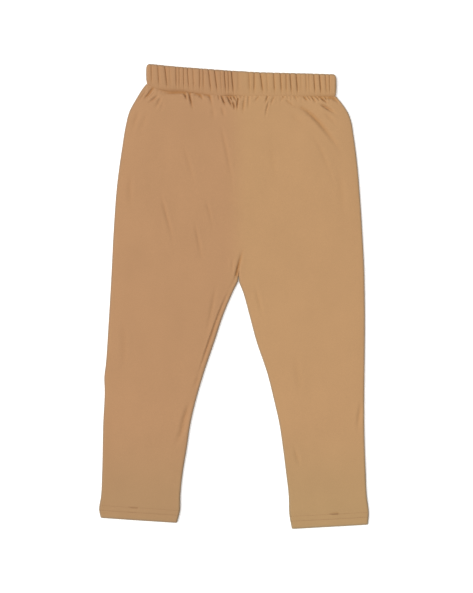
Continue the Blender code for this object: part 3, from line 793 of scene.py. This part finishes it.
def drift_group():
    """Tan that drifts across the centre seam and changes at the hems, with painted shade in hollows and
    along the edges.
    """
    tree, given, result = new_group(
        "Colour drift", "ShaderNodeTree", {"Place": "Vector", **dict.fromkeys(TONES, "Color")},
        {"Colour": "Color"},
    )
    axes = add_node(tree, "ShaderNodeSeparateXYZ", {0: given.outputs["Place"]})
    across, down = (
        add_node(tree, "ShaderNodeMapRange",
                 {"Value": axes.outputs[axis], "From Min": low * MM, "From Max": high * MM},
                 interpolation_type="SMOOTHSTEP").outputs["Result"]
        for axis, low, high in (("X", DRIFT_FROM, DRIFT_TO), ("Y", HEM_TONE_FROM, HEM_TONE_TO))
    )
    side = mixed(tree, across, given.outputs["Right"], given.outputs["Left"])
    toned = mixed(tree, down, side, given.outputs["Hem"], "MULTIPLY")
    # Painted shade: the hollow and rim attributes darken the tan with the Fold and Rim tones
    for attribute, label in (("hollow", "Fold"), ("rim", "Rim")):
        share = add_node(tree, "ShaderNodeAttribute", attribute_name=attribute)
        toned = mixed(tree, share.outputs["Fac"], toned, given.outputs[label], "MULTIPLY")
    set_inputs(tree, result, {"Colour": toned})
    return tree


def add_group(tree, name, make, inputs):
    """A node for a shared group, which is made where it is first used."""
    group = bpy.data.node_groups.get(name) or make()
    return add_node(tree, "ShaderNodeGroup", inputs, node_tree=group)


def new_material(name):
    material = bpy.data.materials.new(name)
    material.use_nodes = True
    return material, material.node_tree, material.node_tree.nodes["Principled BSDF"]


def jersey_material(name, looks, shade=1.0):
    """Matte cotton jersey with its knit, fibre flecks, faint clouds and painted shade in folds and along
    edges, a little darker or lighter.
    """
    material, tree, shader = new_material(name)
    place = add_node(tree, "ShaderNodeTexCoord").outputs["Object"]
    cloth = add_node(tree, "ShaderNodeUVMap", uv_map="cloth").outputs["UV"]
    knit = add_group(tree, "Jersey knit", knit_group,
                     {"Cloth": cloth, "Wale": looks.wale, "Course": looks.course})
    mottle = add_group(tree, "Cloth mottle", mottle_group,
                       {"Place": place, "Clouds": looks.clouds, "Flecks": looks.flecks})
    tones = {label: (*getattr(looks, label.lower()), 1.0) for label in TONES}
    drift = add_group(tree, "Colour drift", drift_group, {"Place": place, **tones})
    tone = maths(tree, "MULTIPLY", knit.outputs["Shade"], mottle.outputs["Factor"])
    relief = add_node(tree, "ShaderNodeBump", {
        "Height": knit.outputs["Height"], "Strength": 0.5, "Distance": looks.knit_depth})
    set_inputs(tree, shader, {
        "Base Color": scaled(tree, drift.outputs["Colour"], maths(tree, "MULTIPLY", tone, shade)),
        "Normal": relief.outputs["Normal"], "Roughness": 0.92, "Diffuse Roughness": 0.2,
        "Specular IOR Level": 0.2, "Sheen Weight": 0.05, "Sheen Roughness": 0.6})
    return material


def thread_material(name, colour):
    """Spun polyester thread: a fine twist along each stitch."""
    material, tree, shader = new_material(name)
    place = add_node(tree, "ShaderNodeTexCoord").outputs["Object"]
    twist = add_node(tree, "ShaderNodeTexWave", {"Vector": place, "Scale": 900.0, "Distortion": 1.5},
                     bands_direction="DIAGONAL").outputs["Fac"]
    relief = add_node(tree, "ShaderNodeBump", {"Height": twist, "Strength": 0.4, "Distance": 0.00005})
    set_inputs(tree, shader, {
        # Painted shade: the thread is darker in the grooves of its twist
        "Base Color": scaled(tree, tuple(colour), maths(tree, "MULTIPLY_ADD", twist, 0.18, 0.88)),
        "Normal": relief.outputs["Normal"], "Roughness": 0.6, "Specular IOR Level": 0.3})
    return material


def stitch_tree():
    """Geometry nodes that lay one slim stitch at each step along a line."""
    tree, given, result = new_group(
        "Row of stitches", "GeometryNodeTree",
        {"Line": "Geometry", "Pitch": "Float", "Stitch": "Float", "Thread": "Float", "Material": "Material"},
        {"Stitches": "Geometry"},
    )
    line = add_node(tree, "GeometryNodeMeshToCurve", {"Mesh": given.outputs["Line"]})
    steps = add_node(tree, "GeometryNodeResampleCurve",
                     {"Curve": line.outputs["Curve"], "Length": given.outputs["Pitch"]}, mode="LENGTH")
    grain = add_node(tree, "GeometryNodeMeshUVSphere", {"Segments": 8, "Rings": 6, "Radius": 0.5})
    size = add_node(tree, "ShaderNodeCombineXYZ",
                    {"X": given.outputs["Thread"], "Y": given.outputs["Thread"],
                     "Z": given.outputs["Stitch"]})
    slim = add_node(tree, "GeometryNodeTransform",
                    {"Geometry": grain.outputs["Mesh"], "Scale": size.outputs[0]})
    tangent = tree.nodes.new("GeometryNodeInputTangent")
    turn = add_node(tree, "FunctionNodeAlignRotationToVector",
                    {"Vector": tangent.outputs["Tangent"]}, axis="Z")
    laid = add_node(tree, "GeometryNodeInstanceOnPoints",
                    {"Points": steps.outputs["Curve"], "Instance": slim.outputs["Geometry"],
                     "Rotation": turn.outputs["Rotation"]})
    real = add_node(tree, "GeometryNodeRealizeInstances", {"Geometry": laid.outputs["Instances"]})
    dressed = add_node(tree, "GeometryNodeSetMaterial",
                       {"Geometry": real.outputs["Geometry"], "Material": given.outputs["Material"]})
    set_inputs(tree, result, {"Stitches": dressed.outputs["Geometry"]})
    return tree


def add_stitches(name, lines, pitch, stitch, thread, material):
    """One mesh of stitches along closed or open lines of points in millimetres."""
    tree = bpy.data.node_groups.get("Row of stitches") or stitch_tree()
    points, edges = [], []
    for line, is_closed in lines:
        first = len(points)
        points.extend((np.array(line) * MM).tolist())
        edges.extend((first + k, first + k + 1) for k in range(len(line) - 1))
        if is_closed:
            edges.append((len(points) - 1, first))
    path = bpy.data.meshes.new(name)
    path.from_pydata(points, edges, [])
    guide = add_object(name + "_line", path)
    modifier = guide.modifiers.new("Stitches", "NODES")
    modifier.node_group = tree
    values = {"Pitch": pitch, "Stitch": stitch, "Thread": thread, "Material": material}
    for item in tree.interface.items_tree:
        if item.item_type == "SOCKET" and item.in_out == "INPUT" and item.name in values:
            modifier[item.identifier] = values[item.name]
    depsgraph = bpy.context.evaluated_depsgraph_get()
    mesh = bpy.data.meshes.new_from_object(guide.evaluated_get(depsgraph), depsgraph=depsgraph)
    mesh.name = name
    bpy.data.objects.remove(guide)
    mesh.shade_smooth()
    return add_object(name, mesh)


def length_prop(name, description, default):
    return FloatProperty(name=name, description=description, default=default, unit="LENGTH")


def share_prop(name, description, default):
    return FloatProperty(name=name, description=description, default=default, subtype="FACTOR")


def strength_prop(name, description, default):
    return FloatProperty(name=name, description=description, default=default)


def colour_prop(name, description, default):
    return FloatVectorProperty(name=name, description=description, default=default, subtype="COLOR")


def count_prop(name, description, default):
    return IntProperty(name=name, description=description, default=default)


class LeggingsCloth(bpy.types.PropertyGroup):
    """Cut and lie of the cloth."""

    wall: length_prop("Wall", "Thickness of the cloth", 0.001)
    hem_depth: length_prop("Hem depth", "Height of the turned-up hems", 0.015)
    needle_gap: length_prop("Needle gap", "Distance between a hem's two rows of stitches", 0.0056)
    relief: share_prop("Relief", "Depth of the creases, as a share of the measured ones", 1.8)
    gathers: share_prop("Gathers", "Depth of the gathers at the waist seam, as such a share", 2.6)
    front_columns: count_prop("Front columns", "Points across the front of a leg", 184)
    back_columns: count_prop("Back columns", "Points across the back of a leg", 56)
    fold_steps: count_prop("Fold steps", "Points round a quarter of a fold", 5)
    rib_columns: count_prop("Rib columns", "Points across each gather of the waistband", 12)


class LeggingsLooks(bpy.types.PropertyGroup):
    """Colours and surface of the jersey and the thread."""

    right: colour_prop("Right side", "Tan of the wearer's right side", (0.458, 0.254, 0.126))
    left: colour_prop("Left side", "Tan of the wearer's left side", (0.480, 0.278, 0.132))
    hem: colour_prop("Hem tone", "Colour that the tan is multiplied by at the hems", (0.90, 0.97, 0.96))
    # Painted shade deep in the folds
    fold: colour_prop("Fold tone", "Colour that the tan is multiplied by deep in a fold", (0.86, 0.75, 0.58))
    # Painted shade along the garment's edges
    rim: colour_prop(
        "Rim tone", "Colour that the tan is multiplied by along the garment's edges", (0.68, 0.80, 0.96))
    waistband: share_prop("Waistband", "Brightness of the waistband's cloth", 0.99)
    thread: colour_prop("Thread", "Colour of the sewing thread", (0.310, 0.170, 0.080))
    wale: length_prop("Wale", "Width of a column of knit stitches", 0.00075)
    course: length_prop("Course", "Height of a row of knit stitches", 0.00055)
    knit_depth: length_prop("Knit depth", "Relief of the knit", 0.00012)
    clouds: share_prop("Clouds", "Unevenness of the dye", 0.05)
    flecks: share_prop("Flecks", "Unevenness of the fibres", 0.08)


class LeggingsSewing(bpy.types.PropertyGroup):
    """Stitches of the hems."""

    pitch: length_prop("Pitch", "Distance from one stitch to the next", 0.0028)
    stitch: length_prop("Stitch", "Length of a stitch", 0.0022)
    tack_pitch: length_prop("Tack pitch", "Distance between the stitches of a tack", 0.0012)
    thread: length_prop("Thread", "Thickness of the sewing thread", 0.00045)


class LeggingsStage(bpy.types.PropertyGroup):
    """Floor, lights and camera."""

    floor: colour_prop("Floor", "Colour of the floor", (0.965, 0.96, 0.95))
    glow: strength_prop("Glow", "Brightness of the floor's own light, as on a light table", 0.22)
    lens: length_prop("Lens", "Focal length of the camera", 0.1)
    fill: strength_prop("Fill", "Brightness of the light from overhead", 0.62)
    key: strength_prop("Key", "Brightness of the soft light from the wearer's right", 2.1)


def dress(piece, slot, *nodes):
    """Fasten a finished piece to the part's one body."""
    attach(piece, "root")
    if nodes:
        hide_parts(*nodes)


class LEGGINGS_OT_legs(bpy.types.Operator):
    """Make both leg panels"""

    bl_idname = "leggings.legs"
    bl_label = "Leg Panels"

    def execute(self, context):
        cloth, looks = context.scene.leggings_cloth, context.scene.leggings_looks
        for node, fold, inseam, side in LEGS:
            material = jersey_material(node + "_jersey", looks)
            shell, faces = Panel(cloth, fold, inseam, side).mesh()
            piece = add_piece(node + "_cloth", shell, faces, material)
            dress(piece, "jersey_" + node[4:], node)
        return {"FINISHED"}


class LEGGINGS_OT_waistband(bpy.types.Operator):
    """Make the gathered waistband"""

    bl_idname = "leggings.waistband"
    bl_label = "Waistband"

    def execute(self, context):
        cloth, looks = context.scene.leggings_cloth, context.scene.leggings_looks
        material = jersey_material("waistband_jersey", looks, looks.waistband)
        shell, faces = Casing(cloth).mesh()
        piece = add_piece("waistband_cloth", shell, faces, material)
        dress(piece, "jersey_waistband", "waistband")
        return {"FINISHED"}


class LEGGINGS_OT_hem_stitches(bpy.types.Operator):
    """Sew the two rows of stitches round each hem, with their tacks"""

    bl_idname = "leggings.hem_stitches"
    bl_label = "Hem Stitches"

    def execute(self, context):
        cloth, sewing = context.scene.leggings_cloth, context.scene.leggings_sewing
        proud = sewing.thread / MM * STITCH_PROUD
        material = thread_material("hem_thread", context.scene.leggings_looks.thread)
        for node, fold, inseam, side in LEGS:
            panel = Panel(cloth, fold, inseam, side)
            rows = [(panel.loop(line, proud), True) for line in panel.stitch_lines]
            piece = add_stitches(node + "_hem_stitches", rows, sewing.pitch, sewing.stitch,
                                 sewing.thread, material)
            dress(piece, "thread")
            tacks = [(panel.dash(tack, proud), False) for tack in TACKS[node]]
            piece = add_stitches(node + "_hem_tacks", tacks, sewing.tack_pitch, sewing.stitch,
                                 sewing.thread * TACK_THICKNESS, material)
            dress(piece, "thread")
        return {"FINISHED"}


class LEGGINGS_OT_stage(bpy.types.Operator):
    """Set the camera straight above, the pale floor and the soft studio light"""

    bl_idname = "leggings.stage"
    bl_label = "Studio"

    def execute(self, context):
        scene, stage = context.scene, context.scene.leggings_stage
        scene.view_settings.view_transform = "Standard"

        data = bpy.data.cameras.new("camera")
        data.lens = stage.lens / MM
        data.sensor_width = SENSOR
        data.clip_end = VIEW_END
        camera = add_object("camera", data)
        distance = PHOTO_HEIGHT * MM_PER_PIXEL * MM * data.lens / SENSOR
        camera.location = (PHOTO_CENTRE_X * MM, 0.0, MIDDLE_HEIGHT * MM + distance)
        scene.camera = camera

        floor = bpy.data.meshes.new("floor")
        corners = [(-1, -1), (1, -1), (1, 1), (-1, 1)]
        floor.from_pydata(
            [(x * FLOOR_REACH, y * FLOOR_REACH, -FLOOR_DROP) for x, y in corners], [], [(0, 1, 2, 3)])
        material, tree, shader = new_material("floor")
        place = add_node(tree, "ShaderNodeTexCoord").outputs["Object"]
        paper = add_node(tree, "ShaderNodeTexNoise", {"Vector": place, "Scale": 3.0, "Detail": 2.0})
        tone = maths(tree, "MULTIPLY_ADD", paper.outputs["Fac"], 0.004, 0.998)
        set_inputs(tree, shader, {
            "Base Color": scaled(tree, tuple(stage.floor), tone), "Roughness": 0.9,
            "Specular IOR Level": 0.0, "Emission Color": WHITE, "Emission Strength": stage.glow})
        floor.materials.append(material)
        ground = add_object("floor", floor)

        world = bpy.data.worlds.new("studio")
        world.use_nodes = True
        tree = world.node_tree
        direction = add_node(tree, "ShaderNodeTexCoord").outputs["Generated"]
        axes = add_node(tree, "ShaderNodeSeparateXYZ", {0: direction})
        up = maths(tree, "MAXIMUM", axes.outputs["Z"], 0.0)
        overhead = maths(tree, "MULTIPLY_ADD", maths(tree, "MULTIPLY", up, up), SKY_OVERHEAD, SKY_HORIZON)
        lit = maths(tree, "MULTIPLY", overhead, stage.fill)
        rays = add_node(tree, "ShaderNodeLightPath")
        seen = maths(tree, "MAXIMUM", lit, rays.outputs["Is Camera Ray"])
        set_inputs(tree, tree.nodes["Background"], {"Color": WHITE, "Strength": seen})
        scene.world = world

        lamp = bpy.data.lights.new("key", "SUN")
        lamp.energy = stage.key
        lamp.angle = math.radians(KEY_SPREAD)
        elevation = math.radians(KEY_ELEVATION)
        toward = Vector((*KEY_SIDE, 0.0)).normalized() * math.cos(elevation)
        toward.z = math.sin(elevation)
        add_object("key", lamp).rotation_euler = toward.to_track_quat("Z", "Y").to_euler()
        return {"FINISHED"}


class LEGGINGS_PT_panel(bpy.types.Panel):
    """Sidebar panel with the leggings' sizes, colours and making steps"""

    bl_idname = "LEGGINGS_PT_panel"
    bl_label = "Leggings"
    bl_space_type = "VIEW_3D"
    bl_region_type = "UI"
    bl_category = "Leggings"

    def draw(self, context):
        layout = self.layout
        for step in STEPS:
            layout.operator(step.bl_idname)
        for name, kind in GROUPS:
            box = layout.box()
            for label in kind.__annotations__:
                box.prop(getattr(context.scene, name), label)


GROUPS = (
    ("leggings_cloth", LeggingsCloth),
    ("leggings_looks", LeggingsLooks),
    ("leggings_sewing", LeggingsSewing),
    ("leggings_stage", LeggingsStage),
)
STEPS = (LEGGINGS_OT_stage, LEGGINGS_OT_legs, LEGGINGS_OT_waistband, LEGGINGS_OT_hem_stitches)


def register():
    for name, kind in GROUPS:
        bpy.utils.register_class(kind)
        setattr(bpy.types.Scene, name, PointerProperty(type=kind))
    for kind in (*STEPS, LEGGINGS_PT_panel):
        bpy.utils.register_class(kind)


def unregister():
    for kind in (LEGGINGS_PT_panel, *reversed(STEPS)):
        bpy.utils.unregister_class(kind)
    for name, kind in reversed(GROUPS):
        delattr(bpy.types.Scene, name)
        bpy.utils.unregister_class(kind)


def main():
    register()
    bpy.ops.leggings.stage()
    bpy.ops.leggings.legs()
    bpy.ops.leggings.waistband()
    bpy.ops.leggings.hem_stitches()


if __name__ == "__main__":
    main()
